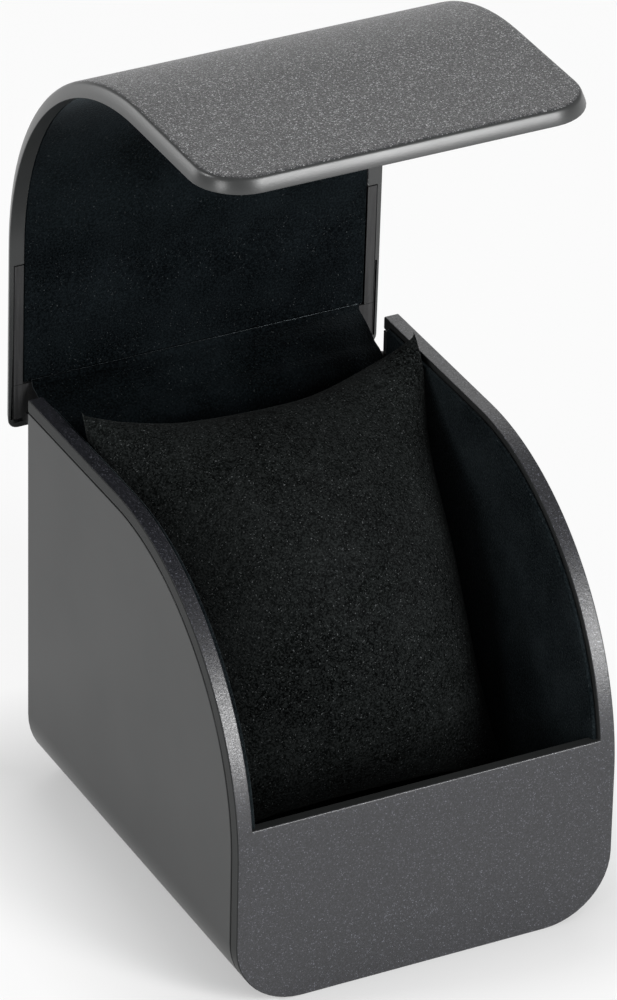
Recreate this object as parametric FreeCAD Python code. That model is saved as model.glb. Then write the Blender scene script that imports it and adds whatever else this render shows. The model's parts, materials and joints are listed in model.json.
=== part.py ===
import FreeCAD, Part
import math
import os

# Watch box with a lid that bends over the whole front, a velvet lining and a loose cushion.
# Millimetres. The origin is the middle of the underside, +X is right, -Y is the front, +Z is up.
# The lid is modelled closed and then turned to the open position in which the box is shown.

Vector = FreeCAD.Vector

# Case
case_width = 80.0
case_depth = 92.0
case_height = 85.0
front_radius = 53.0
bottom_radius = 14.0
wall = 3.2
floor = 2.4
front_height = 39.5
back_thickness = 2.4

# Bezel that forms the front panel and caps the side walls
bezel_depth = 2.7
seam_width = 0.3
seam_depth = 0.4
tongue_width = 1.0
tongue_height = 1.2
tongue_gap = 0.1

# Velvet boards
board = 1.0
board_gap = 0.1
board_reveal = 1.0

# Hinge
pin_diameter = 1.6
pin_clearance = 0.05
pin_recess = 0.5
barrel_radius = 2.0
barrel_gap = 0.3
swing_gap = 0.4
hinge_drop = 9.4
hinge_inset = 1.0
knuckles = 5

# Lid
lid_gap = 0.4
lid_edge = 2.2
lid_crown = 0.7
lid_bevel = 3.8
lid_flare = 1.0
lid_foot_gap = 0.5
lid_overhang = 1.0
lid_rear_corner = 2.0
lid_end_corner = 10.0
lid_lip = 3.1
lid_wall = 1.0
lid_open = 88.9
skirt = 2.0
bar_depth = 8.4
rail_length = 35.0
flap = 0.6
flap_bend = 4.0

# Cushion
cushion_seam = 1.2
cushion_pinch = 1.0
cushion_front = 25.0
cushion_back = 19.0
cushion_waist = 1.8
cushion_sag = 4.0
cushion_side_gap = 0.1
cushion_rest_gap = 0.3
cushion_head_setback = 14.0
cushion_head_drop = 0.1
cushion_foot_setback = 30.0

# Places that follow from the sizes
half_width = case_width / 2
front = -case_depth / 2
back = case_depth / 2
bend_y = front + front_radius
bend_z = case_height - front_radius
inner_half = half_width - wall
hinge_y = back - hinge_inset
hinge_z = case_height - hinge_drop
hinge_point = Vector(0, hinge_y, hinge_z)
hinge_half = inner_half - board_gap
barrel_room = barrel_radius + swing_gap
lip_z = case_height + lid_gap
lid_back = back + lid_overhang
lid_pocket = board + 2 * board_gap
lining_half = half_width - lid_lip
lid_turn = 90.0 - lid_flare
beyond = 10.0
x_axis = Vector(1, 0, 0)
y_axis = Vector(0, 1, 0)


def box(x_low, x_high, y_low, y_high, z_low, z_high):
    corner = Vector(x_low, y_low, z_low)
    return Part.makeBox(x_high - x_low, y_high - y_low, z_high - z_low, corner)


def line(start, end):
    return Part.LineSegment(start, end).toShape()


def arc(start, middle, end):
    return Part.Arc(start, middle, end).toShape()


def face_of(edges):
    return Part.Face(Part.Wire(edges))


def polygon(points):
    return Part.Face(Part.makePolygon(points + points[:1]))


def side_region(grow):
    """Face of the box seen from the side: flat top, round front; its top and front move out by grow."""
    radius = front_radius + grow
    top = case_height + grow
    face_y = front - grow
    slant = radius * math.sqrt(0.5)
    low_back = Vector(0, back, 0)
    high_back = Vector(0, back, top)
    bend_top = Vector(0, bend_y, top)
    bend_middle = Vector(0, bend_y - slant, bend_z + slant)
    bend_front = Vector(0, face_y, bend_z)
    low_front = Vector(0, face_y, 0)
    return face_of([
        line(low_back, high_back),
        line(high_back, bend_top),
        arc(bend_top, bend_middle, bend_front),
        line(bend_front, low_front),
        line(low_front, low_back),
    ])


def across(face, x_low, x_high):
    moved = face.copy()
    moved.translate(x_axis * x_low)
    return moved.extrude(x_axis * (x_high - x_low))


def edge_band(outer, inner):
    """Full-width strip along the top and front of the side outline, between two offsets."""
    region = side_region(outer).cut(side_region(inner))
    return across(region, -half_width, half_width)


def channel(inset, low, y_low, y_high):
    """Prism along Y with the front view's outline: straight sides, rounded lower corners, open upwards."""
    half = half_width - inset
    radius = bottom_radius - inset
    top = case_height + beyond
    slant = radius * (1 - math.sqrt(0.5))
    right_top = Vector(half, y_low, top)
    right_low = Vector(half, y_low, low + radius)
    right_bend = Vector(half - slant, y_low, low + slant)
    right_foot = Vector(half - radius, y_low, low)
    left_foot = Vector(radius - half, y_low, low)
    left_bend = Vector(slant - half, y_low, low + slant)
    left_low = Vector(-half, y_low, low + radius)
    left_top = Vector(-half, y_low, top)
    face = face_of([
        line(right_top, right_low),
        arc(right_low, right_bend, right_foot),
        line(right_foot, left_foot),
        arc(left_foot, left_bend, left_low),
        line(left_low, left_top),
        line(left_top, right_top),
    ])
    return face.extrude(y_axis * (y_high - y_low))


def wall_core(gap):
    """The middle layer of the walls and floor, where the tongue of the shell stands in the bezel."""
    outer_inset = (wall - tongue_width) / 2 - gap
    inner_inset = (wall + tongue_width) / 2 + gap
    outer = channel(outer_inset, outer_inset, front, back)
    return outer.cut(channel(inner_inset, inner_inset, front, back))


def make_base_shell():
    body = across(side_region(-bezel_depth), -half_width, half_width)
    body = body.common(channel(0, 0, front, back))
    body = body.cut(channel(wall, floor, front, back))
    seam = edge_band(-bezel_depth, -bezel_depth - seam_width)
    seam = seam.cut(channel(seam_depth, seam_depth, front, back))
    tongue = edge_band(tongue_height - bezel_depth, -bezel_depth).common(wall_core(0))
    return body.cut(seam).fuse(tongue).removeSplitter()


def make_front_bezel():
    body = edge_band(0, -bezel_depth).common(channel(0, 0, front, back))
    mouth = box(-inner_half, inner_half, front - beyond, back + beyond, front_height, case_height + beyond)
    groove = edge_band(tongue_height + tongue_gap - bezel_depth, -bezel_depth).common(wall_core(tongue_gap))
    return body.cut(mouth).cut(groove)


def barrel(radius, x_low, x_high):
    return Part.makeCylinder(radius, x_high - x_low, Vector(x_low, hinge_y, hinge_z), x_axis)


def knuckle_spans(first):
    """Every second stretch of the hinge line, with a side gap between neighbours."""
    pitch = 2 * hinge_half / knuckles
    spans = []
    for index in range(first, knuckles, 2):
        start = -hinge_half + index * pitch
        spans.append((start + barrel_gap / 2, start + pitch - barrel_gap / 2))
    return spans


def pin_bore():
    return barrel(pin_diameter / 2 + pin_clearance, -half_width, half_width)


def make_back_panel():
    top = hinge_z - barrel_room
    body = channel(wall + board_gap, floor + board_gap, back - back_thickness, back)
    body = body.cut(box(-half_width, half_width, front, back, top, case_height + 2 * beyond))
    for x_low, x_high in knuckle_spans(0):
        web = box(x_low, x_high, back - back_thickness, back, top, hinge_z)
        body = body.fuse(web).fuse(barrel(barrel_radius, x_low, x_high))
    return body.cut(pin_bore()).removeSplitter()


def make_hinge_pin():
    return barrel(pin_diameter / 2, pin_recess - hinge_half, hinge_half - pin_recess)


def make_side_liner(side):
    rear_y = min(back - back_thickness, hinge_y - barrel_radius) - board_gap
    outer = inner_half - board_gap
    body = across(side_region(-board_reveal), outer - board, outer)
    body = body.common(box(0, half_width, front, rear_y, bottom_radius + board_gap, case_height))
    behind_panel = box(-half_width, half_width, front, back, 0, front_height + board_gap)
    body = body.cut(edge_band(0, -bezel_depth - board_gap).common(behind_panel))
    if side < 0:
        body = body.mirror(Vector(0, 0, 0), x_axis)
    return body


def make_floor_liner():
    y_low = front + bezel_depth + board_gap
    y_high = back - back_thickness - board_gap
    outer = channel(wall + board_gap, floor + board_gap, y_low, y_high)
    inner = channel(wall + board_gap + board, floor + board_gap + board, y_low, y_high)
    above = box(-half_width, half_width, front, back, bottom_radius, case_height + 2 * beyond)
    return outer.cut(inner).cut(above)


def make_end_liner(y_low, top):
    inset = wall + 2 * board_gap + board
    low = floor + 2 * board_gap + board
    body = channel(inset, low, y_low, y_low + board)
    body = body.common(across(side_region(-bezel_depth - board_gap), -half_width, half_width))
    return body.cut(box(-half_width, half_width, front, back, top, case_height + 2 * beyond))


def make_front_liner():
    return make_end_liner(front + bezel_depth + board_gap, front_height - board_reveal)


def make_back_liner():
    return make_end_liner(back - back_thickness - board_gap - board, hinge_z - barrel_room - board_reveal)


def rear_place(x, run, height):
    """Point over the lid's flat part: run goes back from the bend, height is above the closed rim."""
    return Vector(x, bend_y + run, case_height + height)


def end_place(x, run, height):
    """Point over the lid's front part: run goes down from the bend, height is out from the rim."""
    turn = math.radians(lid_turn)
    reach = front_radius + height
    y = bend_y - reach * math.sin(turn) - run * math.cos(turn)
    z = bend_z + reach * math.cos(turn) - run * math.sin(turn)
    return Vector(x, y, z)


def plate_outline(place, half, run, corner, height):
    """Outline of a flat part of the lid, with its two outer corners rounded."""
    slant = corner * (1 - math.sqrt(0.5))
    near_right = place(half, 0, height)
    far_right = place(half, run - corner, height)
    turn_right = place(half - slant, run - slant, height)
    end_right = place(half - corner, run, height)
    end_left = place(corner - half, run, height)
    turn_left = place(slant - half, run - slant, height)
    far_left = place(-half, run - corner, height)
    near_left = place(-half, 0, height)
    return Part.Wire([
        line(near_right, far_right),
        arc(far_right, turn_right, end_right),
        line(end_right, end_left),
        arc(end_left, turn_left, far_left),
        line(far_left, near_left),
        line(near_left, near_right),
    ])


def lid_layer(low, high, margin, rear_margin, bevel):
    """One layer of the closed lid: flat part, bend and front part, drawn in by bevel at its upper face."""
    half = half_width - margin
    rear_run = lid_back - bend_y - rear_margin
    foot_drop = end_place(0, 0, lid_gap).z - lid_foot_gap
    end_run = foot_drop / math.sin(math.radians(lid_turn)) - margin
    least_corner = lid_wall / 4
    parts = []
    flats = (
        (rear_place, rear_run, lid_rear_corner - margin),
        (end_place, end_run, lid_end_corner - margin),
    )
    for place, run, corner in flats:
        below = plate_outline(place, half, run, max(corner, least_corner), low)
        above = plate_outline(place, half - bevel, run - bevel, max(corner - bevel, least_corner), high)
        parts.append(Part.makeLoft([below, above], True, True))
    section = polygon([
        rear_place(-half, 0, low),
        rear_place(half, 0, low),
        rear_place(half - bevel, 0, high),
        rear_place(bevel - half, 0, high),
    ])
    bend = section.revolve(Vector(0, bend_y, bend_z), x_axis, lid_turn)
    return bend.fuse(parts).removeSplitter()


def rail_room(gap):
    """Space in the lid's rim for the hinge bar and the rails, drawn in by gap."""
    half = half_width - lid_wall - gap
    rear = lid_back - lid_wall
    return box(-half, half, rear - rail_length + gap, rear - gap, lip_z, lip_z + lid_pocket - gap)


def opened(shape):
    turned = shape.copy()
    turned.rotate(hinge_point, x_axis, -lid_open)
    return turned


def make_lid_shell():
    edge = lid_layer(lid_gap, lid_gap + lid_edge, 0, 0, 0)
    crown = lid_layer(lid_gap + lid_edge, lid_gap + lid_edge + lid_crown, 0, 0, lid_bevel)
    pocket = lid_layer(lid_gap, lid_gap + lid_pocket, lid_lip, lid_wall, 0)
    shell = edge.fuse(crown).removeSplitter()
    return opened(shell.cut(pocket).cut(rail_room(0)))


def make_lid_lining():
    low = lid_gap + board_gap
    return opened(lid_layer(low, low + board, lid_lip + board_gap, bar_depth + lid_overhang + board_gap, 0))


def make_lid_hinge_bar():
    half = inner_half - swing_gap
    body = rail_room(board_gap)
    body = body.cut(box(-half_width, half_width, front, back - bar_depth, 0, case_height + beyond))
    body = body.fuse(box(-half, half, back - skirt, back, hinge_z + barrel_room, lip_z))
    for x_low, x_high in knuckle_spans(1):
        web = box(x_low, x_high, back - skirt, back, hinge_z, hinge_z + barrel_room)
        body = body.fuse(web).fuse(barrel(barrel_radius, x_low, x_high))
    return opened(body.cut(pin_bore()).removeSplitter())


def make_lid_rail(side):
    body = rail_room(board_gap)
    x_low = lining_half + board_gap
    body = body.common(box(x_low, half_width, front, back - bar_depth - board_gap, 0, case_height + beyond))
    if side < 0:
        body = body.mirror(Vector(0, 0, 0), x_axis)
    return opened(body)


def make_hinge_flap():
    """Velvet from the lid's lining, round the inner corner of the lid and down to the knuckles."""
    half = inner_half - board_gap - board - swing_gap
    high = lip_z - board_gap
    wall_y = back - skirt - board_gap
    turn_y = wall_y - flap_bend
    turn_z = high - flap_bend
    low = hinge_z + barrel_room
    outer_slant = flap_bend * math.sqrt(0.5)
    inner_slant = (flap_bend - flap) * math.sqrt(0.5)
    start_out = Vector(0, back - bar_depth, high)
    bend_out = Vector(0, turn_y, high)
    middle_out = Vector(0, turn_y + outer_slant, turn_z + outer_slant)
    down_out = Vector(0, wall_y, turn_z)
    end_out = Vector(0, wall_y, low)
    end_in = Vector(0, wall_y - flap, low)
    down_in = Vector(0, wall_y - flap, turn_z)
    middle_in = Vector(0, turn_y + inner_slant, turn_z + inner_slant)
    bend_in = Vector(0, turn_y, high - flap)
    start_in = Vector(0, back - bar_depth, high - flap)
    face = face_of([
        line(start_out, bend_out),
        arc(bend_out, middle_out, down_out),
        line(down_out, end_out),
        line(end_out, end_in),
        line(end_in, down_in),
        arc(down_in, middle_in, bend_in),
        line(bend_in, start_in),
        line(start_in, start_out),
    ])
    return opened(across(face, -half, half))


# Cushion: its lower corners lie on the round corners of the floor board, and it leans back,
# with its seam in the slanted middle plane.
cushion_half = inner_half - board_gap - board - cushion_side_gap
foot_half = cushion_seam / 2 + cushion_pinch
corner_z = floor + bottom_radius - wall
corner_radius = bottom_radius - wall - board_gap - board - cushion_rest_gap
corner_reach = cushion_half - (half_width - bottom_radius)
corner_drop = math.sqrt(max(corner_radius ** 2 - corner_reach ** 2, 0))
cushion_foot = Vector(0, front + cushion_foot_setback, corner_z - corner_drop + foot_half)
cushion_head = Vector(0, back - cushion_head_setback, case_height - cushion_head_drop)
cushion_long = cushion_head - cushion_foot
cushion_length = cushion_long.Length
cushion_up = cushion_long / cushion_length
cushion_out = x_axis.cross(cushion_up)


def cushion_place(x, along, out):
    return cushion_foot + x_axis * x + cushion_up * along + cushion_out * out


def cushion_section(share):
    """Section of the cushion at a share of its length: two arcs that meet at the side seams."""
    fullness = math.sin(math.pi * share) ** 0.8
    half = cushion_half - cushion_waist * fullness
    seam = cushion_seam / 2
    crown_front = seam + cushion_pinch + (cushion_front - cushion_pinch) * fullness
    crown_back = seam + cushion_pinch + (cushion_back - cushion_pinch) * fullness
    along = cushion_length * share
    return Part.Wire([
        arc(
            cushion_place(-half, along, seam),
            cushion_place(0, along, crown_front),
            cushion_place(half, along, seam),
        ),
        line(cushion_place(half, along, seam), cushion_place(half, along, -seam)),
        arc(
            cushion_place(half, along, -seam),
            cushion_place(0, along, -crown_back),
            cushion_place(-half, along, -seam),
        ),
        line(cushion_place(-half, along, -seam), cushion_place(-half, along, seam)),
    ])


def make_pillow():
    """Crowned loft whose sides, foot and head are drawn in between the four corners."""
    shares = (0.0, 0.1, 0.3, 0.5, 0.7, 0.9, 1.0)
    body = Part.makeLoft([cushion_section(share) for share in shares], True, False)
    radius = (cushion_half ** 2 + cushion_sag ** 2) / (2 * cushion_sag)
    depth = cushion_front + cushion_back
    for along in (cushion_sag - radius, cushion_length - cushion_sag + radius):
        centre = cushion_place(0, along, -depth)
        body = body.cut(Part.makeCylinder(radius, 2 * depth, centre, cushion_out))
    return body


pieces = {
    "base_shell": make_base_shell(),
    "front_bezel": make_front_bezel(),
    "back_panel": make_back_panel(),
    "hinge_pin": make_hinge_pin(),
    "liner_left": make_side_liner(-1),
    "liner_right": make_side_liner(1),
    "liner_front": make_front_liner(),
    "liner_back": make_back_liner(),
    "liner_floor": make_floor_liner(),
    "pillow": make_pillow(),
    "lid_shell": make_lid_shell(),
    "lid_hinge_bar": make_lid_hinge_bar(),
    "lid_rail_left": make_lid_rail(-1),
    "lid_rail_right": make_lid_rail(1),
    "lid_lining": make_lid_lining(),
    "hinge_flap": make_hinge_flap(),
}

os.makedirs("parts", exist_ok=True)
for name, shape in pieces.items():
    print(name, len(shape.Solids), shape.isValid(), round(shape.Volume, 1))
    shape.exportStep(os.path.join("parts", name + ".step"))
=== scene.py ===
import json
import math

import bmesh
import bpy
from mathutils import Matrix, Vector


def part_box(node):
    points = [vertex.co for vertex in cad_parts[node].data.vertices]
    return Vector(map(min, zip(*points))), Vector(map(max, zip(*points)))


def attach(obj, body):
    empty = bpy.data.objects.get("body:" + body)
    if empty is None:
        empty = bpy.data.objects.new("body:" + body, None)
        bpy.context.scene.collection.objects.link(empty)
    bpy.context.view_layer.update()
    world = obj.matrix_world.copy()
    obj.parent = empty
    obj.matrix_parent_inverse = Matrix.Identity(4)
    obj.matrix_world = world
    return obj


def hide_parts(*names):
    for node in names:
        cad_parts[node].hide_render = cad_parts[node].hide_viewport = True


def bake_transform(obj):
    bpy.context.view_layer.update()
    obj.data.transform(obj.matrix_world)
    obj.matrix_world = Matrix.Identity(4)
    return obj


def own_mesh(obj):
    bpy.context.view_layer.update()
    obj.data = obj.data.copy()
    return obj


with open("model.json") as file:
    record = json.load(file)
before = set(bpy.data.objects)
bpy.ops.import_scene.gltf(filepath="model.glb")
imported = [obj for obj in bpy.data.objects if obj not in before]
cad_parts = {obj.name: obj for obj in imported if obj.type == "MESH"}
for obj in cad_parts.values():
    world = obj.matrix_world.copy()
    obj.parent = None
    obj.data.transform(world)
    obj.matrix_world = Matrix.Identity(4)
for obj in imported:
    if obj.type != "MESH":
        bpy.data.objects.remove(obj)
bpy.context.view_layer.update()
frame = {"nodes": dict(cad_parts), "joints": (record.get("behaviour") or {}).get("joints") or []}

# Case shell: one moulded channel of smooth, matt dark grey plastic, with large round lower corners.
# It makes the two side walls and the floor, and the bezel plugs onto its top and front edges
# so that a thin open seam is left all along the joint.

case_low, case_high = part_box("front_bezel")
half_width = case_high.x
case_front = case_low.y
case_back = case_high.y
case_height = case_high.z
front_radius = 0.053
corner_radius = 0.014
wall = 0.0032
bezel_depth = 0.0027
seam_gap = 0.0003
shell_edge = 0.0002
bend_y = case_front + front_radius
bend_z = case_height - front_radius
quarter_turn = math.radians(90)
arc_steps = 32
corner_steps = 12
touching = 1e-6
x_axis = Vector((1, 0, 0))
y_axis = Vector((0, 1, 0))


class Wire:
    """One output in a material's nodes. Arithmetic on wires adds Math nodes."""

    def __init__(self, tree, socket=None):
        self.tree = tree
        self.socket = socket

    def add(self, kind, settings, sockets, output=0):
        """Adds a node, sets its settings and then its sockets, and gives one of its outputs."""
        node = self.tree.nodes.new(kind)
        for name, value in settings.items():
            setattr(node, name, value)
        for name, value in sockets.items():
            if isinstance(value, Wire):
                self.tree.links.new(value.socket, node.inputs[name])
            else:
                node.inputs[name].default_value = value
        return Wire(self.tree, node.outputs[output] if node.outputs else None)

    def maths(self, operation, first, second):
        return self.add("ShaderNodeMath", {"operation": operation}, {0: first, 1: second})

    def __add__(self, other):
        return self.maths("ADD", self, other)

    def __radd__(self, other):
        return self.maths("ADD", other, self)

    def __sub__(self, other):
        return self.maths("SUBTRACT", self, other)

    def __rsub__(self, other):
        return self.maths("SUBTRACT", other, self)

    def __mul__(self, other):
        return self.maths("MULTIPLY", self, other)

    def __rmul__(self, other):
        return self.maths("MULTIPLY", other, self)

    def span(self, low, high, new_low=0.0, new_high=1.0):
        """Stretches the values from low to high onto a new span, and holds them inside it."""
        ends = {"Value": self, "From Min": low, "From Max": high, "To Min": new_low, "To Max": new_high}
        return self.add("ShaderNodeMapRange", {"clamp": True}, ends)

    def tint(self, dark, light):
        """Mixes two colours, by this wire's value."""
        colours = {"Factor": self, 6: (*dark, 1), 7: (*light, 1)}
        return self.add("ShaderNodeMix", {"data_type": "RGBA"}, colours, 2)

    def noise(self, scale, detail=2.0, roughness=0.5):
        sockets = {"Vector": self, "Scale": scale, "Detail": detail, "Roughness": roughness}
        return self.add("ShaderNodeTexNoise", {}, sockets)

    def cells(self, scale):
        return self.add("ShaderNodeTexVoronoi", {}, {"Vector": self, "Scale": scale})

    def chance(self, scale):
        """A random value from 0 to 1 for each cell of a fine mosaic."""
        mosaic = self.add("ShaderNodeTexVoronoi", {}, {"Vector": self, "Scale": scale}, "Color")
        return self.add("ShaderNodeSeparateColor", {}, {"Color": mosaic})

    def bump(self, strength, depth):
        sockets = {"Strength": strength, "Distance": depth, "Height": self}
        return self.add("ShaderNodeBump", {}, sockets)


def new_material(name):
    """Starts a material and gives its coordinates, fixed to the piece."""
    material = bpy.data.materials.new(name)
    material.use_nodes = True
    material.node_tree.nodes.clear()
    start = Wire(material.node_tree)
    return material, start.add("ShaderNodeTexCoord", {}, {}, "Object")


def paint(material, **sockets):
    """Ends a material with the shader that takes these sockets, named with _ for a space."""
    start = Wire(material.node_tree)
    named = {name.replace("_", " "): value for name, value in sockets.items()}
    surface = start.add("ShaderNodeBsdfPrincipled", {}, named)
    start.add("ShaderNodeOutputMaterial", {}, {"Surface": surface})
    return material


def start_row(bm, points):
    """A row of vertices joined by edges, from which a sheet is pulled."""
    row = [bm.verts.new(point) for point in points]
    edges = [bm.edges.new(pair) for pair in zip(row, row[1:])]
    return row + edges


def pull(bm, row, offset):
    """Extrudes a row by an offset and gives the new row."""
    edges = [part for part in row if isinstance(part, bmesh.types.BMEdge)]
    made = bmesh.ops.extrude_edge_only(bm, edges=edges)["geom"]
    new_row = [part for part in made if not isinstance(part, bmesh.types.BMFace)]
    new_verts = [part for part in new_row if isinstance(part, bmesh.types.BMVert)]
    bmesh.ops.translate(bm, verts=new_verts, vec=offset)
    return new_row


def turn(bm, row, centre, axis, angle, steps):
    """Spins a row about an axis and gives the last row."""
    return bmesh.ops.spin(bm, geom=row, cent=centre, axis=axis, angle=angle, steps=steps)["geom_last"]


def mirror_across(bm):
    """Adds the other half of a mesh that ends at the middle plane."""
    whole = bm.verts[:] + bm.edges[:] + bm.faces[:]
    bmesh.ops.mirror(bm, geom=whole, merge_dist=touching, axis="X")


def round_off(bm, parts, radius, steps, affect="VERTICES"):
    """Rounds the corners of a sheet, or its folds where affect is EDGES."""
    bmesh.ops.bevel(
        bm,
        geom=parts,
        offset=radius,
        offset_type="OFFSET",
        segments=steps,
        profile=0.5,
        affect=affect,
        material=-1,
    )


def side_face(bm, x, inset, rear_y, foot_y, foot_z):
    """Flat face with the case's side outline, set in by inset: straight back and top, round front."""
    bend_centre = Vector((x, bend_y, bend_z))
    rear_foot = bm.verts.new((x, rear_y, foot_z))
    rear_top = bm.verts.new((x, rear_y, case_height - inset))
    bend_top = bm.verts.new((x, bend_y, case_height - inset))
    bend_end = turn(bm, [bend_top], bend_centre, x_axis, quarter_turn, arc_steps)[0]
    front_foot = bm.verts.new((x, foot_y, foot_z))
    for pair in ((rear_foot, rear_top), (rear_top, bend_top), (bend_end, front_foot)):
        bm.edges.new(pair)
    foot = bm.edges.new((front_foot, rear_foot))
    bmesh.ops.contextual_create(bm, geom=bm.edges[:])
    return [front_foot, rear_foot, foot]


def make_piece(name, bm, material, body, nodes, outward=None):
    """Turns a bmesh into a smooth piece that rides on a body and stands for CAD nodes.

    Where outward is given, it is a point and the way the face nearest to it looks.
    """
    bmesh.ops.remove_doubles(bm, verts=bm.verts[:], dist=touching)
    bmesh.ops.recalc_face_normals(bm, faces=bm.faces[:])
    if outward is not None:
        point, direction = outward
        nearest = min(bm.faces, key=lambda face: (face.calc_center_median() - point).length)
        if nearest.normal.dot(direction) < 0:
            bmesh.ops.reverse_faces(bm, faces=bm.faces[:])
    mesh = bpy.data.meshes.new(name)
    bm.to_mesh(mesh)
    bm.free()
    mesh.shade_smooth()
    mesh.materials.append(material)
    piece = bpy.data.objects.new(name, mesh)
    bpy.context.scene.collection.objects.link(piece)
    if body:
        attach(piece, body)
    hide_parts(*nodes)
    return piece


def thicken(piece, thickness):
    """Gives a sheet its thickness, inwards from its faces."""
    solidify = piece.modifiers.new("thickness", "SOLIDIFY")
    solidify.thickness = thickness
    solidify.offset = -1
    solidify.use_even_offset = True


def soften(piece, width, segments=3):
    """Rounds the hard edges of a piece."""
    rounding = piece.modifiers.new("soft edges", "BEVEL")
    rounding.width = width
    rounding.segments = segments
    rounding.limit_method = "ANGLE"
    rounding.angle_limit = math.radians(35)
    rounding.harden_normals = True


def smooth_plastic(name, gloss):
    """Matt moulded plastic: an even dark grey with a very fine mould texture."""
    material, place = new_material(name)
    cloud = place.noise(scale=55, detail=3)
    fine = place.noise(scale=5200, detail=2)
    speck = place.cells(scale=900).span(0.06, 0.02)
    colour = (cloud + speck * 0.5).tint((0.020, 0.021, 0.021), (0.029, 0.0305, 0.0305))
    return paint(
        material,
        Base_Color=colour,
        Roughness=cloud.span(0.3, 0.7, 0.30, 0.36),
        Normal=fine.bump(strength=0.10, depth=0.00004),
        Specular_IOR_Level=gloss,
    )


smooth_grey = smooth_plastic("smooth_plastic", gloss=0.25)
shell = bmesh.new()
foot = side_face(
    shell,
    -half_width,
    bezel_depth + seam_gap,
    case_back,
    case_front + bezel_depth + seam_gap,
    corner_radius,
)
corner_centre = Vector((corner_radius - half_width, 0, corner_radius))
floor_edge = turn(shell, foot, corner_centre, y_axis, -quarter_turn, corner_steps)
pull(shell, floor_edge, x_axis * (half_width - corner_radius))
mirror_across(shell)
case_shell = make_piece(
    "case_shell",
    shell,
    smooth_grey,
    "case",
    ["base_shell"],
    outward=(Vector((-half_width, 0, 0.04)), -x_axis),
)
thicken(case_shell, wall)
soften(case_shell, shell_edge)

# Front bezel: one grained dark grey moulding, the low front panel and the two rims that cap the walls.
# It is a bent frame of one thickness: flat along the top, then round the front and down to the foot,
# with the mouth left open between the rims. Its sides are smooth and duller than its grained face.

front_height = 0.0395
bezel_edge = 0.00028
panel_steps = 4
seam_rise = 0.01
inner_half = half_width - wall
panel_angle = math.asin((front_height - bend_z) / front_radius)
bend_centre = Vector((0, bend_y, bend_z))


def grained_plastic(name, fineness, rarity, brightness, grain_depth, gloss):
    """Spark-textured moulded plastic: near black, with a fine raised grain; bright random cells in its
    colour are painted glints of the facets.
    """
    material, place = new_material(name)
    grain = place.noise(scale=2300, detail=3, roughness=0.65)
    facet = place.chance(fineness)
    cloud = place.noise(scale=45, detail=2)
    # Painted highlight: a few random cells of the grain are coloured bright, standing in for glints of light
    # on facets.
    painted_glint = place.maths("POWER", facet, rarity)
    shade = painted_glint + grain.span(0.4, 0.6) * 0.1 + cloud * 0.03
    return paint(
        material,
        Base_Color=shade.tint((0.004, 0.0043, 0.0062), brightness),
        Roughness=(facet * 0.4 + grain * 0.6).span(0.3, 0.7, 0.42, 0.28),
        Normal=(grain + facet * 0.3).bump(strength=0.5, depth=grain_depth),
        Specular_IOR_Level=gloss,
    )


grained_grey = grained_plastic(
    "grained_plastic",
    fineness=5600,
    rarity=20.0,
    brightness=(0.105, 0.108, 0.128),
    grain_depth=0.0001,
    gloss=0.75,
)
bezel = bmesh.new()
widths = (-half_width, -inner_half, inner_half, half_width)
row = start_row(bezel, [(x, case_back, case_height) for x in widths])
row = pull(bezel, row, y_axis * (bend_y - case_back))
row = turn(bezel, row, bend_centre, x_axis, quarter_turn - panel_angle, arc_steps)
mouth = [face for face in bezel.faces if abs(face.calc_center_median().x) < inner_half / 2]
row = turn(bezel, row, bend_centre, x_axis, panel_angle, panel_steps)
row = pull(bezel, row, Vector((0, 0, -bend_z)))
bmesh.ops.delete(bezel, geom=mouth, context="FACES")
panel_edges = [edge for edge in bezel.edges if max(vert.co.z for vert in edge.verts) < bend_z + touching]
panel_seams = [
    edge
    for edge in panel_edges
    if len(edge.link_faces) == 2 and abs(edge.verts[0].co.z - edge.verts[1].co.z) > seam_rise
]
bmesh.ops.dissolve_edges(bezel, edges=panel_seams, use_verts=True)
panel_foot = [vert for vert in bezel.verts if vert.co.z < touching]
panel_corners = [vert for vert in panel_foot if abs(vert.co.x) > inner_half + touching]
round_off(bezel, panel_corners, corner_radius, corner_steps)
front_bezel = make_piece(
    "front_frame",
    bezel,
    grained_grey,
    "case",
    ["front_bezel"],
    outward=(Vector((0, case_front, 0.015)), -y_axis),
)
front_bezel.data.materials.append(smooth_plastic("bezel_side", gloss=0.05))
thicken(front_bezel, bezel_depth)
front_bezel.modifiers["thickness"].material_offset_rim = 1
soften(front_bezel, bezel_edge)

# Velvet boards: card covered with black short-pile velvet, glued to the walls, the floor,
# the back and behind the front panel. The velvet is folded round the card's edges, so they look soft,
# and that of the side boards is painted lighter, as painted light on the walls' inner faces, which lie in
# shade.

board = 0.001
board_gap = 0.0001
board_reveal = 0.001
board_edge = 0.00042


def velvet(name, dark, light):
    """Short-pile velvet: nearly black, cloudy where the pile leans, with single bright fibres."""
    speck_share = 0.72
    pile = 0.0002
    material, place = new_material(name)
    nap = place.noise(scale=70, detail=3, roughness=0.55)
    fibre = place.noise(scale=2600, detail=2, roughness=0.6)
    fleck = place.noise(scale=3300, detail=1).span(speck_share, speck_share + 0.06)
    shade = nap.span(0.35, 0.65) * 0.45 + fibre.span(0.42, 0.62) * 0.55
    pale_fibre = (0.06, 0.066, 0.068, 1)
    sockets = {"Factor": fleck, 6: shade.tint(dark, light), 7: pale_fibre}
    colour = place.add("ShaderNodeMix", {"data_type": "RGBA"}, sockets, 2)
    return paint(
        material,
        Base_Color=colour,
        Roughness=fibre.span(0.3, 0.7, 0.98, 0.86),
        Normal=(fibre + nap * 0.4).bump(strength=0.5, depth=pile),
        Specular_IOR_Level=0.03,
        Sheen_Weight=0.2,
        Sheen_Roughness=0.3,
        Sheen_Tint=(0.62, 0.72, 0.78, 1),
    )


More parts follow.
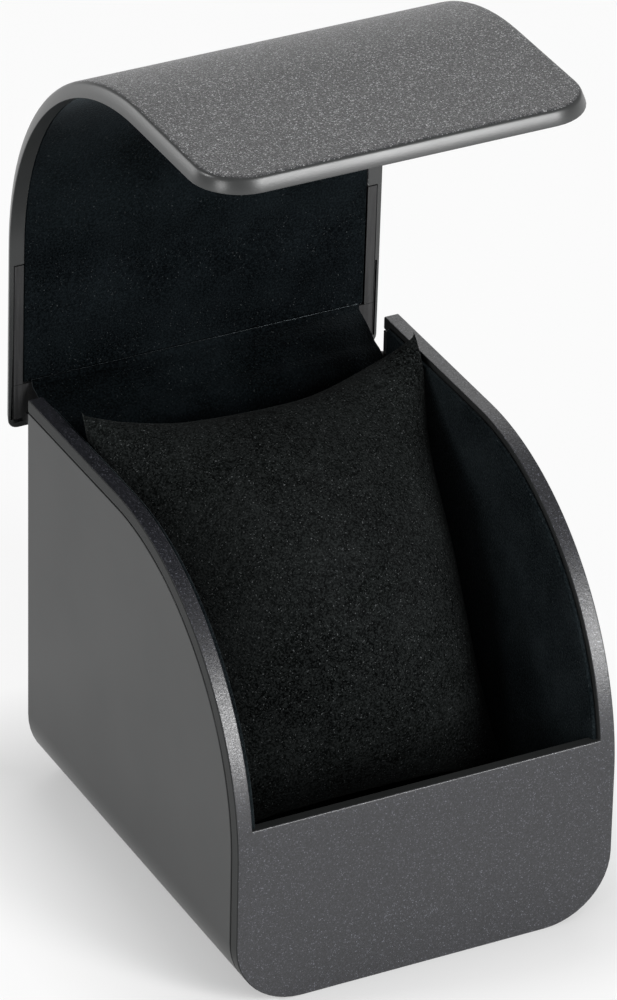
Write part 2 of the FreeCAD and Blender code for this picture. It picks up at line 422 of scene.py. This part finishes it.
black_velvet = velvet("black_velvet", (0.0002, 0.0006, 0.0009), (0.0064, 0.0092, 0.0108))
# Painted light: a lighter copy of the velvet for the side boards, which stand in shade.
painted_light_velvet = velvet("painted_light_velvet", (0.0008, 0.0020, 0.0026), (0.0140, 0.0186, 0.0208))
board_x = inner_half - board_gap
board_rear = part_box("liner_left")[1].y
board_front = case_front + bezel_depth + board_gap
for side, name in ((-1, "left"), (1, "right")):
    wall_board = bmesh.new()
    side_face(wall_board, side * board_x, board_reveal, board_rear, board_front, corner_radius + board_gap)
    piece = make_piece(
        "velvet_wall_" + name,
        wall_board,
        painted_light_velvet,
        "case",
        ["liner_" + name],
        outward=(Vector((side * board_x, 0, 0.04)), x_axis * side),
    )
    thicken(piece, board)
    soften(piece, board_edge)

floor_board = bmesh.new()
floor_low, floor_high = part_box("liner_floor")
bow = corner_radius - wall - board_gap
board_ends = [(-board_x, y, floor_high.z) for y in (floor_low.y, floor_high.y)]
row = start_row(floor_board, board_ends)
bow_centre = Vector((bow - board_x, 0, floor_low.z + bow))
row = pull(floor_board, row, Vector((0, 0, bow_centre.z - floor_high.z)))
row = turn(floor_board, row, bow_centre, y_axis, -quarter_turn, corner_steps)
pull(floor_board, row, x_axis * (board_x - bow))
mirror_across(floor_board)
piece = make_piece(
    "velvet_floor",
    floor_board,
    black_velvet,
    "case",
    ["liner_floor"],
    outward=(Vector((0, 0, floor_low.z)), Vector((0, 0, -1))),
)
thicken(piece, board)
soften(piece, board_edge)

for node, name, facing in (("liner_front", "velvet_front", -1), ("liner_back", "velvet_back", 1)):
    end_low, end_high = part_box(node)
    end_y = end_low.y if facing < 0 else end_high.y
    end_board = bmesh.new()
    row = start_row(end_board, [(end_low.x, end_y, end_low.z), (end_high.x, end_y, end_low.z)])
    pull(end_board, row, Vector((0, 0, end_high.z - end_low.z)))
    lower = [vert for vert in end_board.verts if vert.co.z < end_low.z + touching]
    round_off(end_board, lower, bow - board, corner_steps)
    piece = make_piece(
        name,
        end_board,
        black_velvet,
        "case",
        [node],
        outward=(Vector((0, end_y, end_high.z / 2)), y_axis * facing),
    )
    thicken(piece, board)
    soften(piece, board_edge)

# Back panel, hinge bar, rails and pin: satin black mouldings and a drawn steel wire.
# The back panel carries the case's knuckles, and the bar at the lid's rear edge carries the lid's.
# The rails are strips let into the lid's rim beside the lining.


def black_plastic():
    """Satin black moulding with faint drawn streaks."""
    material, place = new_material("black_plastic")
    stretched = place.add("ShaderNodeVectorMath", {"operation": "MULTIPLY"}, {0: place, 1: (1, 1, 0.06)})
    streak = stretched.noise(scale=1800, detail=2)
    grain = place.noise(scale=3600, detail=2)
    colour = streak.span(0.3, 0.7).tint((0.010, 0.010, 0.0105), (0.026, 0.026, 0.0268))
    return paint(
        material,
        Base_Color=colour,
        Roughness=grain.span(0.3, 0.7, 0.42, 0.54),
        Normal=grain.bump(strength=0.2, depth=0.00005),
    )


def pin_steel():
    """Bright drawn wire, with fine rings left by the die."""
    material, place = new_material("pin_steel")
    drawn = place.add("ShaderNodeVectorMath", {"operation": "MULTIPLY"}, {0: place, 1: (0.05, 1, 1)})
    streak = drawn.noise(scale=6000, detail=2)
    return paint(
        material,
        Base_Color=streak.tint((0.46, 0.46, 0.47), (0.62, 0.62, 0.63)),
        Metallic=1.0,
        Roughness=streak.span(0.3, 0.7, 0.28, 0.42),
    )


satin_black = black_plastic()
finishes = {
    "back_panel": satin_black,
    "lid_hinge_bar": satin_black,
    "lid_rail_left": satin_black,
    "lid_rail_right": satin_black,
    "hinge_pin": pin_steel(),
}
for node, finish in finishes.items():
    frame["nodes"][node].data.materials.clear()
    frame["nodes"][node].data.materials.append(finish)

# Cushion: a pillow of black brushed velvet over soft filling, wedged between the side boards
# and leaning back against the hinge. Its seams pinch the two upper corners into ears.

pillow_weave = 0.002
pillow_swell = 0.0018
ear_reach = 0.011
ear_pulls = {-1: Vector((-0.0014, 0.0, 0.0046)), 1: Vector((0.0014, 0.0, 0.0050))}
shoulder_spread = 0.045
ear_neck = 0.0007
ear_neck_reach = 0.0068
ear_neck_width = 0.0024
ear_lean = 0.5
brow_lift = 0.0010
brow_depth = 0.012
shoulder_foot = 0.050
shoulder_rise = 0.030
puff_frames = 20


def copied(source, name):
    """A copy of a CAD mesh with its doubled vertices merged."""
    bm = bmesh.new()
    bm.from_mesh(source.data)
    bmesh.ops.remove_doubles(bm, verts=bm.verts[:], dist=touching)
    bmesh.ops.recalc_face_normals(bm, faces=bm.faces[:])
    mesh = bpy.data.meshes.new(name)
    bm.to_mesh(mesh)
    bm.free()
    return mesh


def settled(holder):
    """The mesh of an object with all its modifiers applied."""
    view = bpy.context.evaluated_depsgraph_get()
    return bpy.data.meshes.new_from_object(holder.evaluated_get(view))


holder = bpy.data.objects.new("cushion_form", copied(frame["nodes"]["pillow"], "cushion_form"))
bpy.context.scene.collection.objects.link(holder)
even = holder.modifiers.new("even weave", "REMESH")
even.mode = "VOXEL"
even.voxel_size = pillow_weave
woven = settled(holder)
holder.modifiers.clear()
holder.data = woven
at_rest = [vert.co.copy() for vert in woven.vertices]
cloth = holder.modifiers.new("cloth", "CLOTH")
cloth.settings.quality = 5
cloth.settings.mass = 0.2
cloth.settings.tension_stiffness = 8
cloth.settings.compression_stiffness = 8
cloth.settings.bending_stiffness = 0.4
cloth.settings.use_pressure = True
cloth.settings.uniform_pressure_force = 4
cloth.settings.effector_weights.gravity = 0
cloth.point_cache.frame_start = 1
cloth.point_cache.frame_end = puff_frames
for moment in range(1, puff_frames + 1):
    bpy.context.scene.frame_set(moment)
woven = settled(holder)
bpy.context.scene.frame_set(1)
cushion = bmesh.new()
cushion.from_mesh(woven)
bpy.data.objects.remove(holder)
pillow_low, pillow_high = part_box("pillow")
cushion.verts.ensure_lookup_table()
for vert, start in zip(cushion.verts, at_rest):
    move = vert.co - start
    if move.length > pillow_swell:
        move = move.normalized() * pillow_swell
    vert.co = start + move
ears = {
    side: max(cushion.verts, key=lambda vert: vert.co.z + side * vert.co.x * ear_lean).co.copy()
    for side in (-1, 1)
}
for vert in cushion.verts:
    high = (vert.co.z - ears[1].z + brow_depth) / brow_depth
    vert.co.z += brow_lift * max(high, 0.0)
    for side, tip in ears.items():
        away = (vert.co - tip).length
        vert.co += ear_pulls[side] * math.exp(-(away / ear_reach) ** 2)
        vert.co.z -= ear_neck * math.exp(-((away - ear_neck_reach) / ear_neck_width) ** 2)
body_verts = [
    vert
    for vert in cushion.verts
    if min((vert.co - tip).length for tip in ears.values()) > ear_reach
]
for verts in (body_verts, cushion.verts[:], cushion.verts[:], cushion.verts[:]):
    bmesh.ops.smooth_vert(
        cushion,
        verts=verts,
        factor=0.5,
        use_axis_x=True,
        use_axis_y=True,
        use_axis_z=True,
    )
for vert in cushion.verts:
    shoulder = min(max((vert.co.z - shoulder_foot) / shoulder_rise, 0.0), 1.0)
    spread = vert.co.x * (1 + shoulder_spread * shoulder)
    vert.co.x = min(max(spread, pillow_low.x), pillow_high.x)


def brushed_velvet():
    """Brushed velvet: mottled where the nap leans to and fro, with a dull bloom and a few pale fibres."""
    material, place = new_material("brushed_velvet")
    patch = place.noise(scale=95, detail=4, roughness=0.6)
    lean = place.noise(scale=28, detail=2)
    fibre = place.noise(scale=2400, detail=2, roughness=0.65)
    fleck = place.noise(scale=3300, detail=1).span(0.69, 0.76)
    mottle = place.noise(scale=850, detail=3, roughness=0.6)
    nap = patch.span(0.38, 0.62) * 0.15 + lean.span(0.4, 0.6) * 0.15
    shade = nap + mottle.span(0.42, 0.6) * 0.2 + fibre.span(0.47, 0.57) * 0.5
    pile_colour = shade.tint((0.0001, 0.0002, 0.0002), (0.0168, 0.0192, 0.0190))
    pale_fibre = (0.10, 0.106, 0.108, 1)
    sockets = {"Factor": fleck, 6: pile_colour, 7: pale_fibre}
    colour = place.add("ShaderNodeMix", {"data_type": "RGBA"}, sockets, 2)
    return paint(
        material,
        Base_Color=colour,
        Roughness=fibre.span(0.3, 0.7, 1.0, 0.88),
        Normal=(fibre + patch * 0.9).bump(strength=0.6, depth=0.00016),
        Specular_IOR_Level=0.03,
        Sheen_Weight=0.015,
        Sheen_Roughness=0.5,
        Sheen_Tint=(0.75, 0.8, 0.8, 1),
    )


pillow_front = Vector((0, pillow_low.y, (pillow_low.z + pillow_high.z) / 2))
cushion_piece = make_piece(
    "cushion",
    cushion,
    brushed_velvet(),
    "case",
    ["pillow"],
    outward=(pillow_front, -y_axis),
)
fine = cushion_piece.modifiers.new("fine", "SUBSURF")
fine.levels = 1
fine.render_levels = 1
cushion_piece.data = settled(cushion_piece)
cushion_piece.modifiers.clear()
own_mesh(cushion_piece)

# Lid shell: one grained dark grey moulding, flat at the back, bent over the front, as wide as the case.
# A smooth sloping border runs round the raised top, and a shallow pocket inside takes the lining.
# The lip below the border takes the border's smooth plastic, darker than the grained top, as painted shade.
# It is modelled closed and turned open on the hinge.

lid_gap = 0.0004
lid_lip = 0.0031
lid_pocket = 0.0012
lid_rear_wall = 0.001
lid_overhang = 0.001
lid_foot_gap = 0.0005
lid_flare = math.radians(1)
lid_rear_corner = 0.002
lid_end_corner = 0.010
lid_least_corner = 0.0006
lid_rear_steps = 5
lid_end_steps = 10
border_radius = 0.0012
crown_height = 0.00295
border_foot = 0.0002
border_inset = 0.0007
border_angles = range(20, 91, 14)
smooth_rings = 5
crown_margin = 0.0032
lid_soft_edge = 0.0003
rail_start = 0.0039
rail_end_gap = 0.001
lip_side = 0.03
flat_lip_area = 8e-5
border = [(0.0, border_foot)]
for angle in border_angles:
    across = border_radius * (1 - math.cos(math.radians(angle)))
    rise = crown_height - border_radius * (1 - math.sin(math.radians(angle)))
    border.append((border_inset + across, rise))
crown = [(crown_margin, crown_height)]
hinge = Vector(frame["joints"][0]["pos_m"])
lid_open = math.radians(frame["joints"][0]["range_deg"][0])


def lid_sheet(bm, height, margin, rear_margin):
    """A bent sheet of the closed lid at a height over the rim, set in by its margins, with round corners."""
    half = half_width - margin
    rear = case_back + lid_overhang - rear_margin
    bend = quarter_turn - lid_flare
    row = start_row(bm, [(-half, rear, case_height + height), (half, rear, case_height + height)])
    row = pull(bm, row, y_axis * (bend_y - rear))
    row = turn(bm, row, bend_centre, x_axis, bend, arc_steps)
    down = Vector((0, -math.cos(bend), -math.sin(bend)))
    end_z = bend_z + (front_radius + height) * math.cos(bend)
    run = (end_z - lid_foot_gap) / math.sin(bend) - margin
    pull(bm, row, down * run)
    rear_corners = [vert for vert in bm.verts if vert.co.y > rear - touching]
    end_corners = [vert for vert in bm.verts if vert.co.z < bend_z - run / 2]
    round_off(bm, rear_corners, max(lid_rear_corner - margin, lid_least_corner), lid_rear_steps)
    round_off(bm, end_corners, max(lid_end_corner - margin, lid_least_corner), lid_end_steps)
    bmesh.ops.recalc_face_normals(bm, faces=bm.faces[:])
    top = max(bm.faces, key=lambda face: face.calc_center_median().z)
    if top.normal.z < 0:
        bmesh.ops.reverse_faces(bm, faces=bm.faces[:])


def open_lid(bm):
    """Turns what was modelled on the closed lid to the open position."""
    bmesh.ops.rotate(bm, verts=bm.verts[:], cent=hinge, matrix=Matrix.Rotation(lid_open, 3, "X"))


def take_in(bm, height, margin, rear_margin):
    """Adds a bent sheet to a mesh and gives its faces and its outline."""
    sheet = bmesh.new()
    lid_sheet(sheet, height, margin, rear_margin)
    sheet_mesh = bpy.data.meshes.new("sheet")
    sheet.to_mesh(sheet_mesh)
    sheet.free()
    known = set(bm.faces)
    bm.from_mesh(sheet_mesh)
    bpy.data.meshes.remove(sheet_mesh)
    faces = [face for face in bm.faces if face not in known]
    outline = [edge for face in faces for edge in face.edges if edge.is_boundary]
    return faces, outline


def step_to(bm, outline, height, margin, rear_margin):
    """Joins an outline to that of another sheet, and gives the new band, sheet and outline."""
    faces, new_outline = take_in(bm, height, margin, rear_margin)
    band = bmesh.ops.bridge_loops(bm, edges=outline + new_outline)["faces"]
    return band, faces, new_outline


lid = bmesh.new()
rim_faces, rim_outline = take_in(lid, lid_gap, 0, 0)
unused = rim_faces
outline = rim_outline
smooth_band = []
for margin, height in border + crown:
    band, faces, outline = step_to(lid, outline, lid_gap + height, margin, margin)
    if (margin, height) in border[:smooth_rings]:
        smooth_band += band
    if (margin, height) != crown[-1]:
        unused += faces
lip_faces, faces, outline = step_to(lid, rim_outline, lid_gap, lid_lip, lid_rear_wall)
unused += faces
step_to(lid, outline, lid_gap + lid_pocket, lid_lip, lid_rear_wall)
bmesh.ops.delete(lid, geom=unused, context="FACES_ONLY")
stray = [edge for edge in lid.edges if not edge.link_faces]
bmesh.ops.delete(lid, geom=stray, context="EDGES")
# Painted shade: the lip gets the darker smooth plastic; the border band is smooth for real.
for face in smooth_band + lip_faces:
    face.material_index = 1
rail_ends = (bend_y + rail_start, case_back + lid_overhang - lid_rear_wall - rail_end_gap)
for side in (-1, 1):
    whole_lip = [face for face in lip_faces if face.is_valid]
    side_lip = [face for face in whole_lip if face.calc_center_median().x * side > lip_side]
    flat_lip = [face for face in side_lip if face.calc_area() > flat_lip_area]
    cuts = [((0, end, 0), y_axis) for end in rail_ends]
    cuts.append(((side * (half_width - lid_rear_wall), 0, 0), x_axis))
    for point, direction in cuts:
        around = [part for face in flat_lip for part in (*face.verts, *face.edges, face)]
        cut = bmesh.ops.bisect_plane(lid, geom=list(set(around)), plane_co=point, plane_no=direction)
        flat_lip = [part for part in cut["geom"] if isinstance(part, bmesh.types.BMFace)]
    room = [
        face
        for face in flat_lip
        if abs(face.calc_center_median().x) < half_width - lid_rear_wall
        and rail_ends[0] < face.calc_center_median().y < rail_ends[1]
    ]
    sunk = bmesh.ops.extrude_face_region(lid, geom=room)["geom"]
    sunk_verts = [part for part in sunk if isinstance(part, bmesh.types.BMVert)]
    bmesh.ops.translate(lid, verts=sunk_verts, vec=Vector((0, 0, lid_pocket)))
    bmesh.ops.delete(lid, geom=room, context="FACES")
open_lid(lid)
# Painted light: the lid's copy of the grained plastic is painted several times lighter than the bezel's,
# standing in for the light on the lid's top.
painted_light_lid_grain = grained_plastic(
    "painted_light_lid_grain",
    fineness=5200,
    rarity=11.0,
    brightness=(0.44, 0.444, 0.452),
    grain_depth=0.00024,
    gloss=0.5,
)
lid_shell = make_piece("lid_cover", lid, painted_light_lid_grain, "lid", ["lid_shell"])
lid_shell.data.materials.append(smooth_plastic("border_plastic", gloss=0.7))
soften(lid_shell, lid_soft_edge)

# Lid lining: black velvet over a thin card that is bent with the lid and glued into its pocket.
# Its lower edge ends at the hinge bar, where the flap takes over.

lining_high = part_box("lid_lining")[1]
bar_depth = 0.0095
lining = bmesh.new()
lid_sheet(lining, lid_gap + board + board_gap, lid_lip + board_gap, bar_depth)
open_lid(lining)
lid_lining = make_piece(
    "lid_velvet",
    lining,
    black_velvet,
    "lid",
    ["lid_lining"],
    outward=(Vector((0, lining_high.y, 0.1)), y_axis),
)
thicken(lid_lining, board)
soften(lid_lining, board_edge)

# Hinge flap: a strip of black velvet glued to the lid's lining and to the back board.
# It lies in loose folds over the knuckles.

flap_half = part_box("hinge_flap")[1].x
flap_thickness = 0.0006
fold_radius = 0.0006
fold_steps = 4
flap_path = (
    (0.0543, 0.0840),
    (0.0540, 0.0826),
    (0.0505, 0.0813),
    (0.0468, 0.0789),
    (0.0444, 0.0783),
    (0.0423, 0.0764),
    (0.0419, 0.0735),
    (0.0422, 0.0680),
)
flap = bmesh.new()
points = [Vector((0, y, z)) for y, z in flap_path]
row = start_row(flap, [points[0] - x_axis * flap_half, points[0] + x_axis * flap_half])
for before, after in zip(points, points[1:]):
    row = pull(flap, row, after - before)
folds = [edge for edge in flap.edges if len(edge.link_faces) == 2]
round_off(flap, folds, fold_radius, fold_steps, "EDGES")
bmesh.ops.recalc_face_normals(flap, faces=flap.faces[:])
bmesh.ops.solidify(flap, geom=flap.faces[:], thickness=flap_thickness)
flap_piece = make_piece("velvet_flap", flap, black_velvet, None, ["hinge_flap"])
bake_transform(flap_piece)

# Floor, light and camera: a pale studio floor, soft lamps and the viewpoint of the photograph.
# The floor looks white to the camera and in reflections. Close to the case it does so less,
# so that the contact shadow stays.

floor_half = 12.0
floor_white = 0.85
contact_white = 0.3
contact_reach = 0.03
sky_strength = 0.35
floor_mesh = bmesh.new()
bmesh.ops.create_grid(floor_mesh, x_segments=2, y_segments=2, size=floor_half)
mesh = bpy.data.meshes.new("floor")
floor_mesh.to_mesh(mesh)
floor_mesh.free()
floor = bpy.data.objects.new("floor", mesh)
bpy.context.scene.collection.objects.link(floor)


def seen_by(start, *kinds):
    """1 for the kinds of ray that are named, 0 for the rest."""
    path = start.tree.nodes.new("ShaderNodeLightPath")
    seen = Wire(start.tree, path.outputs[kinds[0]])
    for kind in kinds[1:]:
        seen = start.maths("MAXIMUM", seen, Wire(start.tree, path.outputs[kind]))
    return seen


floor_material, place = new_material("pale_floor")
pale = place.add("ShaderNodeBsdfDiffuse", {}, {"Color": (0.85, 0.85, 0.85, 1)})
white = place.add("ShaderNodeEmission", {}, {"Color": (1, 1, 1, 1), "Strength": 1.0})
across = place.add("ShaderNodeSeparateXYZ", {}, {"Vector": place}, "X")
along = place.add("ShaderNodeSeparateXYZ", {}, {"Vector": place}, "Y")
beside = place.maths("ABSOLUTE", across, 0.0) - half_width
before = place.maths("ABSOLUTE", along, 0.0) - case_back
clear = place.maths("MAXIMUM", beside, before).span(0.0, contact_reach, contact_white, floor_white)
whiteness = seen_by(place, "Is Camera Ray", "Is Glossy Ray", "Is Transmission Ray") * clear
both = place.add("ShaderNodeMixShader", {}, {0: whiteness, 1: pale, 2: white})
place.add("ShaderNodeOutputMaterial", {}, {"Surface": both})
mesh.materials.append(floor_material)

scene = bpy.context.scene
world = bpy.data.worlds.new("studio")
world.use_nodes = True
world.node_tree.nodes.clear()
scene.world = world
start = Wire(world.node_tree)
sky = start.add("ShaderNodeBackground", {}, {"Color": (1, 1, 1, 1), "Strength": sky_strength})
start.add("ShaderNodeOutputWorld", {}, {"Surface": sky})

target = Vector((0.0058, 0.0167, 0.0669))
lamps = (
    ("front_right", (0.62, -1.4, 0.5), 0.6, 15.0),
    ("back_left", (-1.15, 1.35, 0.36), 1.0, 8.0),
    ("back_right", (0.75, 1.4, 1.0), 1.5, 6.0),
    ("left", (-1.3, -0.7, 0.34), 0.5, 5.0),
    ("front_right_high", (0.52, -1.1, 0.86), 0.4, 7.0),
    ("upper_left", (-1.2, 0.3, 0.88), 0.25, 4.5),
)
for name, place, size, power in lamps:
    lamp = bpy.data.lights.new(name, "AREA")
    lamp.shape = "DISK"
    lamp.size = size
    lamp.energy = power
    holder = bpy.data.objects.new(name, lamp)
    holder.location = place
    holder.rotation_mode = "QUATERNION"
    holder.rotation_quaternion = (target - Vector(place)).to_track_quat("-Z", "Y")
    scene.collection.objects.link(holder)

azimuth = math.radians(-27.55)
elevation = math.radians(30.75)
roll = math.radians(1.23)
distance = 1.488
back = Vector((
    math.sin(azimuth) * math.cos(elevation),
    -math.cos(azimuth) * math.cos(elevation),
    math.sin(elevation),
))
right = Vector((math.cos(azimuth), math.sin(azimuth), 0))
up = back.cross(right)
right_rolled = right * math.cos(roll) + up * math.sin(roll)
up_rolled = up * math.cos(roll) - right * math.sin(roll)
camera_data = bpy.data.cameras.new("camera")
camera_data.sensor_width = 36.0
camera_data.lens = 278.8
camera_data.clip_end = 20.0
camera = bpy.data.objects.new("camera", camera_data)
turned = Matrix((right_rolled, up_rolled, back)).transposed().to_4x4()
camera.matrix_world = Matrix.Translation(target + back * distance) @ turned
scene.collection.objects.link(camera)
scene.camera = camera
scene.view_settings.view_transform = "Standard"
